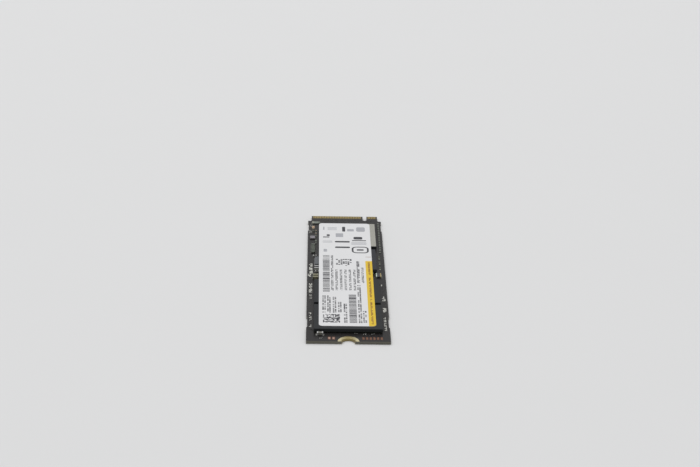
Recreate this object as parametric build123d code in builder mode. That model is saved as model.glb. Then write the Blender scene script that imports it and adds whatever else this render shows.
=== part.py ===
"""A single-sided solid-state drive card of the 22 x 80 mm form, keyed at M, with its label on.

X runs across the card, +Y towards the edge contacts, +Z up through the components.
The origin is the middle of the card's underside. All sizes are in millimetres.
"""

import os

from build123d import *

# Card outline
card_width = 22.0
card_length = 80.0
card_thickness = 0.8
card_corner_radius = 0.2
tab_length = 4.0
shoulder_width = 1.075
shoulder_radius = 0.5
bevel_length = 0.35
bevel_depth = 0.18

# Shallow reliefs that the panel router leaves in the two long edges, one towards each end
relief_depth = 0.24
relief_length = 7.0
relief_from_end = 7.15
relief_from_shoulder = 0.8
router_radius = 1.0

# Edge contacts, numbered from the left with the two faces taking turns, less those that key M takes away
contact_pitch = 0.5
contact_side_margin = 0.675
contact_width = 0.35
contact_length = 1.6
contact_setback = 0.4
first_key_position = 59
last_key_position = 66
key_width = 1.2
key_depth = 3.5
bare_length = 2.4
plating = 0.04

# Half-round screw notch and the plated land around it on each face
notch_radius = 1.75
ring_radius = 2.8

# Bare copper test lands: a pair left of the notch and a row right of it
land_length = 1.5
land_from_end = 0.95
pair_land_width = 0.8
pair_land_pitch = 1.1
pair_land_from_ring = 0.65
row_land_width = 0.6
row_land_pitch = 0.95
row_land_count = 6
row_land_from_ring = 0.8

# Packages: one mounted height, so that the label lies level on all of them
mounted_height = 1.2
ball_height = 0.22
ball_radius = 0.24
ball_sides = 6
package_chamfer = 0.05

nand_width = 18.0
nand_length = 14.0
nand_from_end = 4.6
nand_gap = 1.2
nand_ball_pitch = 1.0
nand_ball_inset = 1.0

controller_width = 16.0
controller_length = 16.0
controller_from_tab = 4.4
controller_shift = 1.0
controller_ball_pitch = 0.8
controller_ball_inset = 0.8
spreader_thickness = 0.1
spreader_inset = 0.12

dram_width = 10.0
dram_length = 13.4
dram_gap = 1.9
dram_side_inset = 0.4
dram_ball_pitch = 0.8
dram_ball_inset = 1.0

# Power manager: a flat no-lead package on solder lands around its edge
manager_size = 5.0
manager_height = 0.4
manager_from_dram = 2.45
manager_from_far_edge = 3.8
manager_land_pitch = 0.5
manager_land_width = 0.26
manager_land_length = 0.45
manager_land_reach = 0.15
manager_land_height = 0.08

# Power inductors: pressed cores standing on bent end plates, below the label
inductor_length = 2.5
inductor_width = 2.0
inductor_clearance = 0.2
inductor_count = 2
inductor_gap = 0.4
inductor_from_manager = 0.6
inductor_from_dram = 0.5
plate_thickness = 0.08
plate_foot = 0.6
plate_rise = 0.55
plate_width = 1.4

# Clock crystal: a ceramic case with a welded lid
crystal_length = 2.0
crystal_width = 1.6
crystal_height = 0.3
crystal_from_side = 1.4
lid_thickness = 0.06
lid_inset = 0.14

# Chip parts, each measured over its two end caps
fuse_length = 2.3
fuse_width = 1.4
fuse_height = 0.35
fuse_cap = 0.45

bulk_length = 1.6
bulk_width = 0.8
bulk_height = 0.8
bulk_cap = 0.35

bypass_length = 1.0
bypass_width = 0.5
bypass_height = 0.5
bypass_cap = 0.25

shunt_length = 1.7
shunt_width = 1.4
shunt_height = 0.45
shunt_cap = 0.35

resistor_length = 1.0
resistor_width = 0.5
resistor_height = 0.35
resistor_cap = 0.22

choke_length = 1.5
choke_width = 2.2
choke_height = 0.45
choke_cap = 0.32

cap_wrap = 0.03

# Lines of chips along the long edges, measured in from the card's edge
outer_line = 1.6
inner_line = 2.4

# Chip places along the card, measured from the package or the end that they belong to
fuse_from_controller = 2.65
bulk_from_controller = 1.9
bulk_pair_pitch = 1.36
bulk_near_from_side = 3.64
bulk_near_from_end = 3.5
choke_from_dram = 0.75
choke_overhang = 1.18
shunt_from_dram = 3.06
shunt_from_side = 2.7
inner_bypass_from_controller = (3.7, 5.9, 10.9)
stack_from_controller = 13.1
stack_pitch = 0.85
stack_count = 7
strip_past_controller = 1.8
strip_pitch = 1.7
strip_count = 12
gap_row_pitch = 2.0
gap_row_count = 6
aisle_row_pitch = 1.8
aisle_row_count = 5
aisle_row_clearance = 0.6
side_resistor_clearance = 0.75
side_resistor_from_edge = 3.4
side_resistor_pitch = 3.55
side_resistor_count = 3
sense_resistor_from_side = 2.1
sense_resistor_from_edge = 2.6
corner_resistor_from_side = 2.8
corner_resistor_from_dram = 0.55
aisle_clearance = 0.12

# Label: one printed sheet
label_width = 15.05
label_length = 65.4
label_thickness = 0.1
label_radius = 1.0
label_from_end = 6.05
label_from_side = 3.3

# Levels and edges that the pieces share
card_top = card_thickness
label_level = card_top + mounted_height
near_end = -card_length / 2
far_end = card_length / 2
left_edge = -card_width / 2
right_edge = card_width / 2
shoulder = far_end - tab_length
tab_width = card_width - 2 * shoulder_width
position_pitch = contact_pitch / 2
last_position = int((tab_width - 2 * contact_side_margin) / position_pitch + 1.001)
middle_position = (last_position + 1) / 2
key_position = (first_key_position + last_key_position) / 2
key_across = (key_position - middle_position) * position_pitch

# Package places, from the tab down to the working memory
controller_far_edge = shoulder - controller_from_tab
controller_middle = controller_far_edge - controller_length / 2
controller_near_edge = controller_far_edge - controller_length
controller_right_edge = controller_shift + controller_width / 2
dram_far_edge = controller_near_edge - dram_gap
dram_middle = dram_far_edge - dram_length / 2
dram_near_edge = dram_far_edge - dram_length
dram_right_edge = controller_right_edge - dram_side_inset
dram_left_edge = dram_right_edge - dram_width
dram_across = dram_right_edge - dram_width / 2
manager_across = dram_left_edge - manager_from_dram - manager_size / 2
manager_middle = dram_far_edge - manager_from_far_edge - manager_size / 2

# As many flash packages as fit between the near end and an aisle that still holds the choke
nand_near_edge = near_end + nand_from_end
nand_pitch = nand_length + nand_gap
aisle_limit = dram_near_edge - choke_from_dram - choke_width - aisle_clearance
nand_count = int((aisle_limit - nand_near_edge + nand_gap) / nand_pitch + 0.001)
nand_middles = [nand_near_edge + nand_length / 2 + index * nand_pitch for index in range(nand_count)]
nand_far_edge = nand_middles[-1] + nand_length / 2
aisle_middle = (nand_far_edge + dram_near_edge) / 2

os.makedirs("parts", exist_ok=True)


def write(piece, name):
    """Labels a finished piece and writes it to its own file."""
    piece.part.label = name
    export_step(piece.part, f"parts/{name}.step")


def row_of(count, pitch):
    """Places along a line, centred on zero."""
    return [(index - (count - 1) / 2) * pitch for index in range(count)]


# Test lands as middles and widths, outwards from the ring
land_middle = near_end + land_from_end + land_length / 2
pair_start = ring_radius + pair_land_from_ring + pair_land_width / 2
row_start = ring_radius + row_land_from_ring + row_land_width / 2
test_lands = [(-pair_start - index * pair_land_pitch, pair_land_width) for index in range(2)]
test_lands += [(row_start + index * row_land_pitch, row_land_width) for index in range(row_land_count)]


# Card: glass-epoxy laminate under a dark solder mask, stepped down where the plating lies
with BuildPart() as card:
    with BuildSketch() as outline:
        with Locations((0, -tab_length / 2)):
            Rectangle(card_width, card_length - tab_length)
        fillet(outline.vertices(), card_corner_radius)
        with Locations((0, shoulder)):
            Rectangle(tab_width, tab_length, align=(Align.CENTER, Align.MIN))
        inner_corners = outline.vertices().filter_by(
            lambda corner: abs(abs(corner.X) - tab_width / 2) < 1e-6 and abs(corner.Y - shoulder) < 1e-6
        )
        fillet(inner_corners, min(shoulder_radius, shoulder_width / 2))
        with Locations((key_across, far_end)):
            Rectangle(
                key_width,
                key_depth - key_width / 2,
                align=(Align.CENTER, Align.MAX),
                mode=Mode.SUBTRACT,
            )
        with Locations((key_across, far_end - key_depth + key_width / 2)):
            Circle(key_width / 2, mode=Mode.SUBTRACT)
        relief_across = card_width / 2 + router_radius - relief_depth
        near_relief = near_end + relief_from_end + relief_length / 2
        far_relief = shoulder - relief_from_shoulder - relief_length / 2
        with Locations(*[(side * relief_across, y) for side in (-1, 1) for y in (near_relief, far_relief)]):
            SlotOverall(relief_length, 2 * router_radius, rotation=90, mode=Mode.SUBTRACT)
        with Locations((0, near_end)):
            Circle(notch_radius, mode=Mode.SUBTRACT)
    extrude(amount=card_thickness)

    for level in (0, card_thickness - plating):
        with BuildSketch(Plane.XY.offset(level)):
            with Locations((0, far_end)):
                Rectangle(card_width, bare_length, align=(Align.CENTER, Align.MAX))
            with Locations((0, near_end)):
                Circle(ring_radius)
        extrude(amount=plating, mode=Mode.SUBTRACT)

    with BuildSketch(Plane.XY.offset(card_thickness - plating)):
        for x, width in test_lands:
            with Locations((x, land_middle)):
                Rectangle(width, land_length)
    extrude(amount=plating, mode=Mode.SUBTRACT)

    with BuildSketch(Plane.YZ):
        for face, inward in ((plating, 1), (card_thickness - plating, -1)):
            with BuildLine():
                Polyline(
                    (far_end - bevel_length, face),
                    (far_end, face),
                    (far_end, face + inward * bevel_depth),
                    close=True,
                )
            make_face()
    extrude(amount=card_width, both=True, mode=Mode.SUBTRACT)
write(card, "circuit_board")


def contact_row(first, level):
    """Every second contact from the first position on, at one face of the tab."""
    with BuildPart() as row:
        with BuildSketch(Plane.XY.offset(level)):
            for position in range(first, last_position + 1, 2):
                if not first_key_position <= position <= last_key_position:
                    x = (position - middle_position) * position_pitch
                    with Locations((x, far_end - contact_setback)):
                        Rectangle(contact_width, contact_length, align=(Align.CENTER, Align.MAX))
        extrude(amount=plating)
    return row


write(contact_row(1, card_thickness - plating), "contact_fingers_top")
write(contact_row(2, 0), "contact_fingers_bottom")

# Ring: the half-round land on each face that the screw head and the stand-off ground
with BuildPart() as ring:
    for level in (0, card_thickness - plating):
        with BuildSketch(Plane.XY.offset(level)):
            with Locations((0, near_end)):
                Circle(ring_radius)
                Circle(notch_radius, mode=Mode.SUBTRACT)
                Rectangle(
                    2 * ring_radius,
                    ring_radius,
                    align=(Align.CENTER, Align.MAX),
                    mode=Mode.SUBTRACT,
                )
        extrude(amount=plating)
write(ring, "screw_notch_ring")

with BuildPart() as lands:
    with BuildSketch(Plane.XY.offset(card_thickness - plating)):
        for x, width in test_lands:
            with Locations((x, land_middle)):
                Rectangle(width, land_length)
    extrude(amount=plating)
write(lands, "test_lands")


def moulded_package(across, middle, width, length, bottom, top):
    """A saw-cut package block between two levels, its top edges broken."""
    with BuildPart() as package:
        with BuildSketch(Plane.XY.offset(bottom)):
            with Locations((across, middle)):
                Rectangle(width, length)
        extrude(amount=top - bottom)
        chamfer(package.faces().sort_by(Axis.Z)[-1].edges(), package_chamfer)
    return package


def ball_ring(across, middle, width, length, pitch, inset):
    """The outermost ring of a package's ball grid, reflowed between its lands and the card's."""
    columns = row_of(int((width - 2 * inset) / pitch + 1.001), pitch)
    rows = row_of(int((length - 2 * inset) / pitch + 1.001), pitch)
    places = [(x, y) for x in columns for y in (rows[0], rows[-1])]
    places += [(x, y) for x in (columns[0], columns[-1]) for y in rows[1:-1]]
    with BuildPart() as balls:
        with BuildSketch(Plane.XY.offset(card_top)):
            with Locations(*[(across + x, middle + y) for x, y in places]):
                RegularPolygon(ball_radius, ball_sides)
        extrude(amount=ball_height)
    return balls


# Flash memory: equal packages end to end, numbered from the near end
ball_level = card_top + ball_height
for number, middle in enumerate(nand_middles, start=1):
    write(
        moulded_package(0, middle, nand_width, nand_length, ball_level, label_level),
        f"nand_package_{number}",
    )
    write(
        ball_ring(0, middle, nand_width, nand_length, nand_ball_pitch, nand_ball_inset),
        f"nand_solder_balls_{number}",
    )

# Working memory
write(
    moulded_package(dram_across, dram_middle, dram_width, dram_length, ball_level, label_level),
    "dram_package",
)
write(
    ball_ring(dram_across, dram_middle, dram_width, dram_length, dram_ball_pitch, dram_ball_inset),
    "dram_solder_balls",
)

# Controller: a black moulded package with a thin nickel-plated spreader bonded on its top
spreader_level = label_level - spreader_thickness
write(
    moulded_package(
        controller_shift,
        controller_middle,
        controller_width,
        controller_length,
        ball_level,
        spreader_level,
    ),
    "controller_package",
)
write(
    ball_ring(
        controller_shift,
        controller_middle,
        controller_width,
        controller_length,
        controller_ball_pitch,
        controller_ball_inset,
    ),
    "controller_solder_balls",
)
with BuildPart() as spreader:
    with BuildSketch(Plane.XY.offset(spreader_level)):
        with Locations((controller_shift, controller_middle)):
            Rectangle(controller_width - 2 * spreader_inset, controller_length - 2 * spreader_inset)
    extrude(amount=spreader_thickness)
write(spreader, "controller_heat_spreader")

# Power manager, and the solder lands that carry it
manager_level = card_top + manager_land_height
write(
    moulded_package(
        manager_across,
        manager_middle,
        manager_size,
        manager_size,
        manager_level,
        manager_level + manager_height,
    ),
    "power_manager",
)
with BuildPart() as manager_lands:
    lands_per_side = int((manager_size - 2 * manager_land_length) / manager_land_pitch + 1.001)
    land_ring = manager_size / 2 + manager_land_reach - manager_land_length / 2
    with BuildSketch(Plane.XY.offset(card_top)):
        for along in row_of(lands_per_side, manager_land_pitch):
            for side in (-land_ring, land_ring):
                with Locations((manager_across + along, manager_middle + side)):
                    Rectangle(manager_land_width, manager_land_length)
                with Locations((manager_across + side, manager_middle + along)):
                    Rectangle(manager_land_length, manager_land_width)
    extrude(amount=manager_land_height)
write(manager_lands, "power_manager_lands")

# Power inductors: cores in a row between the power manager and the memories, each on two bent end plates
inductor_middle = manager_middle - manager_size / 2 - inductor_from_manager - inductor_width / 2
inductor_end = dram_left_edge - inductor_from_dram
inductor_pitch = inductor_length + inductor_gap
first_inductor = inductor_end - inductor_length / 2
inductor_line = [first_inductor - index * inductor_pitch for index in range(inductor_count)]
with BuildPart() as cores:
    with BuildSketch(Plane.XY.offset(card_top + plate_thickness)):
        with Locations(*[(x, inductor_middle) for x in inductor_line]):
            Rectangle(inductor_length - 2 * plate_thickness, inductor_width)
    extrude(amount=mounted_height - inductor_clearance - plate_thickness)
write(cores, "power_inductors")

with BuildPart() as plates:
    with BuildSketch(Plane.XZ.offset(-inductor_middle)):
        for x in inductor_line:
            for side in (-1, 1):
                outer = x + side * inductor_length / 2
                with BuildLine():
                    Polyline(
                        (outer, card_top),
                        (outer - side * plate_foot, card_top),
                        (outer - side * plate_foot, card_top + plate_thickness),
                        (outer - side * plate_thickness, card_top + plate_thickness),
                        (outer - side * plate_thickness, card_top + plate_rise),
                        (outer, card_top + plate_rise),
                        close=True,
                    )
                make_face()
    extrude(amount=plate_width / 2, both=True)
write(plates, "power_inductor_plates")

# Clock crystal, beside the controller
crystal_across = left_edge + crystal_from_side
with BuildPart() as crystal_case:
    with BuildSketch(Plane.XY.offset(card_top)):
        with Locations((crystal_across, controller_middle)):
            Rectangle(crystal_width, crystal_length)
    extrude(amount=crystal_height)
write(crystal_case, "crystal_case")

with BuildPart() as crystal_lid:
    with BuildSketch(Plane.XY.offset(card_top + crystal_height)):
        with Locations((crystal_across, controller_middle)):
            RectangleRounded(crystal_width - 2 * lid_inset, crystal_length - 2 * lid_inset, lid_inset)
    extrude(amount=lid_thickness)
write(crystal_lid, "crystal_lid")


def chip_bodies(places, length, width, height, cap):
    """The middles of two-ended chip parts, held clear of the card by the wrap of their caps."""
    with BuildPart() as bodies:
        with Locations(*[Location((x, y, card_top + cap_wrap), (0, 0, turn)) for x, y, turn in places]):
            Box(
                length - 2 * cap,
                width - 2 * cap_wrap,
                height - 2 * cap_wrap,
                align=(Align.CENTER, Align.CENTER, Align.MIN),
            )
    return bodies


def chip_caps(places, length, width, height, cap):
    """The tinned end caps of two-ended chip parts, standing on the card."""
    with BuildPart() as caps:
        with Locations(*[Location((x, y, card_top), (0, 0, turn)) for x, y, turn in places]):
            with Locations(((length - cap) / 2, 0, 0), ((cap - length) / 2, 0, 0)):
                Box(cap, width, height, align=(Align.CENTER, Align.CENTER, Align.MIN))
    return caps


# Lines of chips, and the two turns of a chip: its caps apart across the card or along it
left_outer = left_edge + outer_line
left_inner = left_edge + inner_line
right_strip = (controller_right_edge + right_edge) / 2
across_card = 0
along_card = 90

# Input fuse, on the shoulder beside the contacts
fuse_places = [(left_inner, controller_far_edge + fuse_from_controller, across_card)]

# Bulk capacitors: one on the supply past the fuse, a pair between the memories, one at the near end
bulk_places = [(left_outer, controller_far_edge - bulk_from_controller, along_card)]
for step in row_of(2, bulk_pair_pitch):
    bulk_places.append((left_inner, aisle_middle + step, across_card))
bulk_places.append((left_edge + bulk_near_from_side, near_end + bulk_near_from_end, across_card))

# Choke under the right corner of the working memory, and current shunt left of it
choke_across = dram_right_edge + choke_overhang - choke_length / 2
choke_places = [(choke_across, dram_near_edge - choke_from_dram - choke_width / 2, across_card)]
shunt_places = [(left_edge + shunt_from_side, dram_near_edge + shunt_from_dram, along_card)]

# Bypass capacitors: beside the controller on both sides, and in rows between the packages
gap_row = controller_near_edge - dram_gap / 2
aisle_row = dram_near_edge - aisle_row_clearance - bypass_width / 2
bypass_places = []
for distance in inner_bypass_from_controller:
    bypass_places.append((left_inner, controller_far_edge - distance, along_card))
for step in range(stack_count):
    y = controller_far_edge - stack_from_controller - step * stack_pitch
    bypass_places.append((left_outer, y, across_card))
for step in range(strip_count):
    y = controller_far_edge + strip_past_controller - step * strip_pitch
    bypass_places.append((right_strip, y, along_card))
for x in row_of(gap_row_count, gap_row_pitch):
    bypass_places.append((controller_shift + x, gap_row, across_card))
for x in row_of(aisle_row_count, aisle_row_pitch):
    bypass_places.append((dram_across + x, aisle_row, across_card))

# Resistors: terminations right of the working memory, sense parts left of it
side_resistors = dram_right_edge + side_resistor_clearance + resistor_width / 2
sense_resistor = left_edge + sense_resistor_from_side
corner_resistor = left_edge + corner_resistor_from_side
resistor_places = []
for step in range(side_resistor_count):
    y = dram_far_edge - side_resistor_from_edge - step * side_resistor_pitch
    resistor_places.append((side_resistors, y, along_card))
resistor_places.append((sense_resistor, dram_far_edge - sense_resistor_from_edge, across_card))
resistor_places.append((corner_resistor, dram_near_edge + corner_resistor_from_dram, across_card))

chip_kinds = {
    "input_fuse": (fuse_places, fuse_length, fuse_width, fuse_height, fuse_cap),
    "bulk_capacitors": (bulk_places, bulk_length, bulk_width, bulk_height, bulk_cap),
    "bypass_capacitors": (bypass_places, bypass_length, bypass_width, bypass_height, bypass_cap),
    "current_shunt": (shunt_places, shunt_length, shunt_width, shunt_height, shunt_cap),
    "chip_resistors": (resistor_places, resistor_length, resistor_width, resistor_height, resistor_cap),
    "supply_choke": (choke_places, choke_length, choke_width, choke_height, choke_cap),
}
for name, kind in chip_kinds.items():
    write(chip_bodies(*kind), name)
    write(chip_caps(*kind), f"{name}_caps")

# Label: one printed sheet bonded across the tops of the packages
with BuildPart() as label:
    with BuildSketch(Plane.XY.offset(label_level)):
        with Locations((left_edge + label_from_side, near_end + label_from_end)):
            RectangleRounded(label_width, label_length, label_radius, align=(Align.MIN, Align.MIN))
    extrude(amount=label_thickness)
write(label, "label")
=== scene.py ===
import math

import bmesh
import bpy
from mathutils import Matrix, Vector


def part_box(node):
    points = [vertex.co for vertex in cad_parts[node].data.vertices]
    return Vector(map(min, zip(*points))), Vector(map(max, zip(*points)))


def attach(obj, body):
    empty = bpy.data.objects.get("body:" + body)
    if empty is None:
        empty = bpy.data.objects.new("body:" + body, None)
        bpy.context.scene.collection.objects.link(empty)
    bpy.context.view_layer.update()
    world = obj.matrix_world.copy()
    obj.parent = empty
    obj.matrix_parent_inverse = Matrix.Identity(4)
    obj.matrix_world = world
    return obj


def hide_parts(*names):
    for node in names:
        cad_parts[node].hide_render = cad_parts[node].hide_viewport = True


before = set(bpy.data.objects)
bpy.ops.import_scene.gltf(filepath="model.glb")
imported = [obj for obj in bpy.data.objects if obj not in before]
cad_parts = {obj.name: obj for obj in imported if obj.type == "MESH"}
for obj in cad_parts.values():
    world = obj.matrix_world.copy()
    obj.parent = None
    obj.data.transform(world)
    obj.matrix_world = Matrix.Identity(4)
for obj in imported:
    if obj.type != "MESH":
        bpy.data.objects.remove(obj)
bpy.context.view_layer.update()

# Card. Glass cloth and epoxy pressed into a thin sheet under a black solder mask, and routed out of its
# panel, so the pressed layers show in the cut edge. The mask stops short of the contact end, where the
# sheet is bare between the contacts.
MM = 0.001


def add(tree, kind, inputs=None, **settings):
    """Adds a node with these settings. An input takes a value or the output of another node."""
    made = tree.nodes.new(kind)
    for name, value in settings.items():
        setattr(made, name, value)
    for key, value in (inputs or {}).items():
        if isinstance(value, bpy.types.NodeSocket):
            tree.links.new(value, made.inputs[key])
        else:
            made.inputs[key].default_value = value
    return made


def calc(tree, operation, *values):
    """One step of arithmetic on values or outputs."""
    return add(tree, "ShaderNodeMath", dict(enumerate(values)), operation=operation).outputs[0]


def mixed(tree, share, below, above, blend_type="MIX"):
    """The colour above laid over the colour below by a share."""
    # The colours of a Mix node are its inputs 6 and 7 and its output 2.
    inputs = {0: share, 6: below, 7: above}
    return add(tree, "ShaderNodeMix", inputs, data_type="RGBA", blend_type=blend_type).outputs[2]


def tone(red, green, blue):
    """A screen colour of 0 to 255 as the linear colour that a shader takes, by the sRGB curve."""
    parts = [value / 255 for value in (red, green, blue)]
    return (*[p / 12.92 if p < 0.04 else ((p + 0.055) / 1.055) ** 2.4 for p in parts], 1.0)


def new_group(name, inputs, outputs):
    """An empty shader group with these sockets, and its input and output nodes."""
    group = bpy.data.node_groups.new(name, "ShaderNodeTree")
    for label, kind in inputs.items():
        group.interface.new_socket(label, in_out="INPUT", socket_type=kind)
    for label in outputs:
        group.interface.new_socket(label, in_out="OUTPUT", socket_type="NodeSocketFloat")
    return group, group.nodes.new("NodeGroupInput").outputs, group.nodes.new("NodeGroupOutput").inputs


def grain_group():
    """Fine speckle over broad mottling: a shade that multiplies a colour, and a height for bump."""
    names = ("Speckle Scale", "Speckle Share", "Mottle Scale", "Mottle Share")
    inputs = {"Stretch": "NodeSocketVector", **dict.fromkeys(names, "NodeSocketFloat")}
    group, given, wanted = new_group("grain", inputs, ("Shade", "Height"))
    place = add(group, "ShaderNodeTexCoord").outputs["Object"]
    drawn = add(group, "ShaderNodeVectorMath", {0: place, 1: given["Stretch"]}, operation="MULTIPLY")
    shade = 1.0
    for layer, detail in (("Speckle", 3.0), ("Mottle", 2.0)):
        inputs = {"Vector": drawn.outputs[0], "Scale": given[f"{layer} Scale"], "Detail": detail}
        noise = add(group, "ShaderNodeTexNoise", inputs).outputs["Fac"]
        swing = calc(group, "MULTIPLY", calc(group, "SUBTRACT", noise, 0.5), given[f"{layer} Share"])
        shade = calc(group, "ADD", swing, shade)
        if layer == "Speckle":
            group.links.new(noise, wanted["Height"])
    group.links.new(shade, wanted["Shade"])
    return group


def band_group():
    """One between two limits of a value and nought outside them, with soft ends."""
    names = ("Value", "Low", "High", "Softness")
    group, given, wanted = new_group("band", dict.fromkeys(names, "NodeSocketFloat"), ("Mask",))
    steps = []
    for limit in ("Low", "High"):
        inputs = {
            "Value": given["Value"],
            1: calc(group, "SUBTRACT", given[limit], given["Softness"]),
            2: calc(group, "ADD", given[limit], given["Softness"]),
        }
        steps.append(add(group, "ShaderNodeMapRange", inputs, interpolation_type="SMOOTHSTEP").outputs[0])
    group.links.new(calc(group, "SUBTRACT", *steps), wanted["Mask"])
    return group


grain = grain_group()
band = band_group()


def between(tree, value, low, high, softness=0.02 * MM):
    """The band group placed in a material."""
    inputs = {"Value": value, "Low": low, "High": high, "Softness": softness}
    return add(tree, "ShaderNodeGroup", inputs, node_tree=band).outputs["Mask"]


def place_of(tree):
    """The X, Y and Z of a point on the object."""
    spot = add(tree, "ShaderNodeTexCoord").outputs["Object"]
    return add(tree, "ShaderNodeSeparateXYZ", {0: spot}).outputs


def upward(tree):
    """The Z of the surface's own direction."""
    facing = add(tree, "ShaderNodeTexCoord").outputs["Normal"]
    return add(tree, "ShaderNodeSeparateXYZ", {0: facing}).outputs["Z"]


def finish(name, colour, roughness, speckle, mottle, bump, metallic=0.0, specular=0.5, stretch=(1, 1, 1)):
    """A material that varies with the grain. Speckle and mottle are a size in mm and a share of the colour.

    The colour is a value, or a function that draws it in the material's tree. Bump is a height in mm.
    """
    material = bpy.data.materials.new(name)
    material.use_nodes = True
    tree = material.node_tree
    shader = tree.nodes["Principled BSDF"]
    inputs = {"Stretch": stretch}
    for layer, (size, share) in (("Speckle", speckle), ("Mottle", mottle)):
        inputs |= {f"{layer} Scale": 1 / (size * MM), f"{layer} Share": share}
    surface = add(tree, "ShaderNodeGroup", inputs, node_tree=grain).outputs
    drawn = colour(tree) if callable(colour) else colour
    tree.links.new(mixed(tree, 1.0, drawn, surface["Shade"], "MULTIPLY"), shader.inputs["Base Color"])
    tree.links.new(calc(tree, "MULTIPLY", surface["Shade"], roughness), shader.inputs["Roughness"])
    heights = {"Strength": 1.0, "Distance": bump * MM, "Height": surface["Height"]}
    tree.links.new(add(tree, "ShaderNodeBump", heights).outputs[0], shader.inputs["Normal"])
    shader.inputs["Metallic"].default_value = metallic
    shader.inputs["Specular IOR Level"].default_value = specular
    return material


def dress(material, *names):
    """Gives CAD nodes a material."""
    for name in names:
        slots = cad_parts[name].data.materials
        slots.clear()
        slots.append(material)


mask_black = tone(40, 38, 38)
bare_sheet = tone(66, 62, 54)
cut_edge = tone(107, 105, 94)
pressed_line = tone(88, 86, 77)
pressed_layers = 4
line_limits = (0.35, 0.65)
line_softness = 0.12
level_face = 0.5
mask_stop = 2.4 * MM
card_low, card_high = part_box("circuit_board")
mask_edge = card_high.y - mask_stop


def card_colour(tree):
    """Mask on the faces, pressed layers in the cut edge, bare sheet at the contact end."""
    place = place_of(tree)
    layer = calc(tree, "DIVIDE", place["Z"], (card_high.z - card_low.z) / pressed_layers)
    line = between(tree, calc(tree, "FRACT", layer), *line_limits, line_softness)
    edge = mixed(tree, line, cut_edge, pressed_line)
    face = calc(tree, "GREATER_THAN", calc(tree, "ABSOLUTE", upward(tree)), level_face)
    covered = mixed(tree, face, edge, mask_black)
    bare = calc(tree, "MULTIPLY", face, calc(tree, "GREATER_THAN", place["Y"], mask_edge))
    return mixed(tree, bare, covered, bare_sheet)


solder_mask = finish(
    "solder_mask", card_colour,
    roughness=0.26, speckle=(0.22, 0.22), mottle=(6, 0.3), bump=0.002, specular=0.3,
)
dress(solder_mask, "circuit_board")

# Tracks. Copper lines etched on the card under the mask, which rises over them. Pairs run from the
# contacts to the controller, and single lines from the test lands and along the long edges.
same_point = 1e-7


def solids_of(name):
    """Middle and size of each separate solid in a CAD node."""
    shape = bmesh.new()
    shape.from_mesh(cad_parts[name].data)
    bmesh.ops.remove_doubles(shape, verts=shape.verts, dist=same_point)
    boxes, seen = [], set()
    for first in shape.verts:
        if first in seen:
            continue
        reached = [first]
        seen.add(first)
        for vertex in reached:
            fresh = [edge.other_vert(vertex) for edge in vertex.link_edges]
            fresh = [other for other in fresh if other not in seen]
            seen.update(fresh)
            reached.extend(fresh)
        low = Vector([min(vertex.co[axis] for vertex in reached) for axis in range(3)])
        high = Vector([max(vertex.co[axis] for vertex in reached) for axis in range(3)])
        boxes.append(((low + high) / 2, high - low))
    shape.free()
    return boxes


def line_mesh(lines):
    """Loose edges through lists of points."""
    points, edges = [], []
    for line in lines:
        edges += [(len(points) + step, len(points) + step + 1) for step in range(len(line) - 1)]
        points += line
    mesh = bpy.data.meshes.new("lines")
    mesh.from_pydata(points, edges, [])
    return mesh


def new_tree(name, **sizes):
    """A geometry tree with these named inputs, which ends in real copies and a material.

    Returns the tree, the sockets of its inputs, and the socket that takes what the tree makes.
    """
    tree = bpy.data.node_groups.new(name, "GeometryNodeTree")
    tree.interface.new_socket("Geometry", in_out="OUTPUT", socket_type="NodeSocketGeometry")
    for label, kind in {"Geometry": "Geometry", **sizes, "material": "Material"}.items():
        tree.interface.new_socket(label, in_out="INPUT", socket_type=f"NodeSocket{kind}")
    given = tree.nodes.new("NodeGroupInput").outputs
    real = tree.nodes.new("GeometryNodeRealizeInstances")
    coated = add(tree, "GeometryNodeSetMaterial", {0: real.outputs[0], "Material": given["material"]})
    add(tree, "NodeGroupOutput", {0: coated.outputs[0]})
    return tree, given, real.inputs[0]


def new_object(name, data):
    """An object in the scene that holds a mesh, a lamp or a camera."""
    made = bpy.data.objects.new(name, data)
    bpy.context.scene.collection.objects.link(made)
    return made


def grown(tree, start, **settings):
    """The plain mesh that a geometry tree makes of a start mesh."""
    carrier = new_object(tree.name, start)
    modifier = carrier.modifiers.new(tree.name, "NODES")
    modifier.node_group = tree
    for socket in tree.interface.items_tree:
        if socket.in_out == "INPUT" and socket.name in settings:
            modifier[socket.identifier] = settings[socket.name]
    made = carrier.evaluated_get(bpy.context.evaluated_depsgraph_get())
    mesh = bpy.data.meshes.new_from_object(made)
    bpy.data.objects.remove(carrier)
    mesh.materials.clear()
    mesh.materials.append(settings["material"])
    return mesh


def settle(name, mesh, slot, *stands_for):
    """Puts a finished mesh on the card as a piece, in place of the CAD nodes that it stands for."""
    piece = new_object(name, mesh)
    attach(piece, "root")
    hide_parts(*stands_for)


def track_tree():
    """A flat-topped rib along each line."""
    tree, given, end = new_tree("tracks", width="Float", height="Float")
    lines = add(tree, "GeometryNodeMeshToCurve", {0: given["Geometry"]})
    level = add(tree, "GeometryNodeSetCurveNormal", {0: lines.outputs[0]}, mode="Z_UP")
    sizes = {"Width": given["width"], "Height": given["height"]}
    section = add(tree, "GeometryNodeCurvePrimitiveQuadrilateral", sizes)
    inputs = {"Curve": level.outputs[0], "Profile Curve": section.outputs[0], "Fill Caps": True}
    tree.links.new(add(tree, "GeometryNodeCurveToMesh", inputs).outputs[0], end)
    return tree


track_rise = 0.018 * MM
track_width = 0.16 * MM
track_level = card_high.z
track_lines = []
via_places = []


def lay_track(*points):
    """Adds a track through these places on the card."""
    track_lines.append([(x, y, track_level) for x, y in points])


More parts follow.
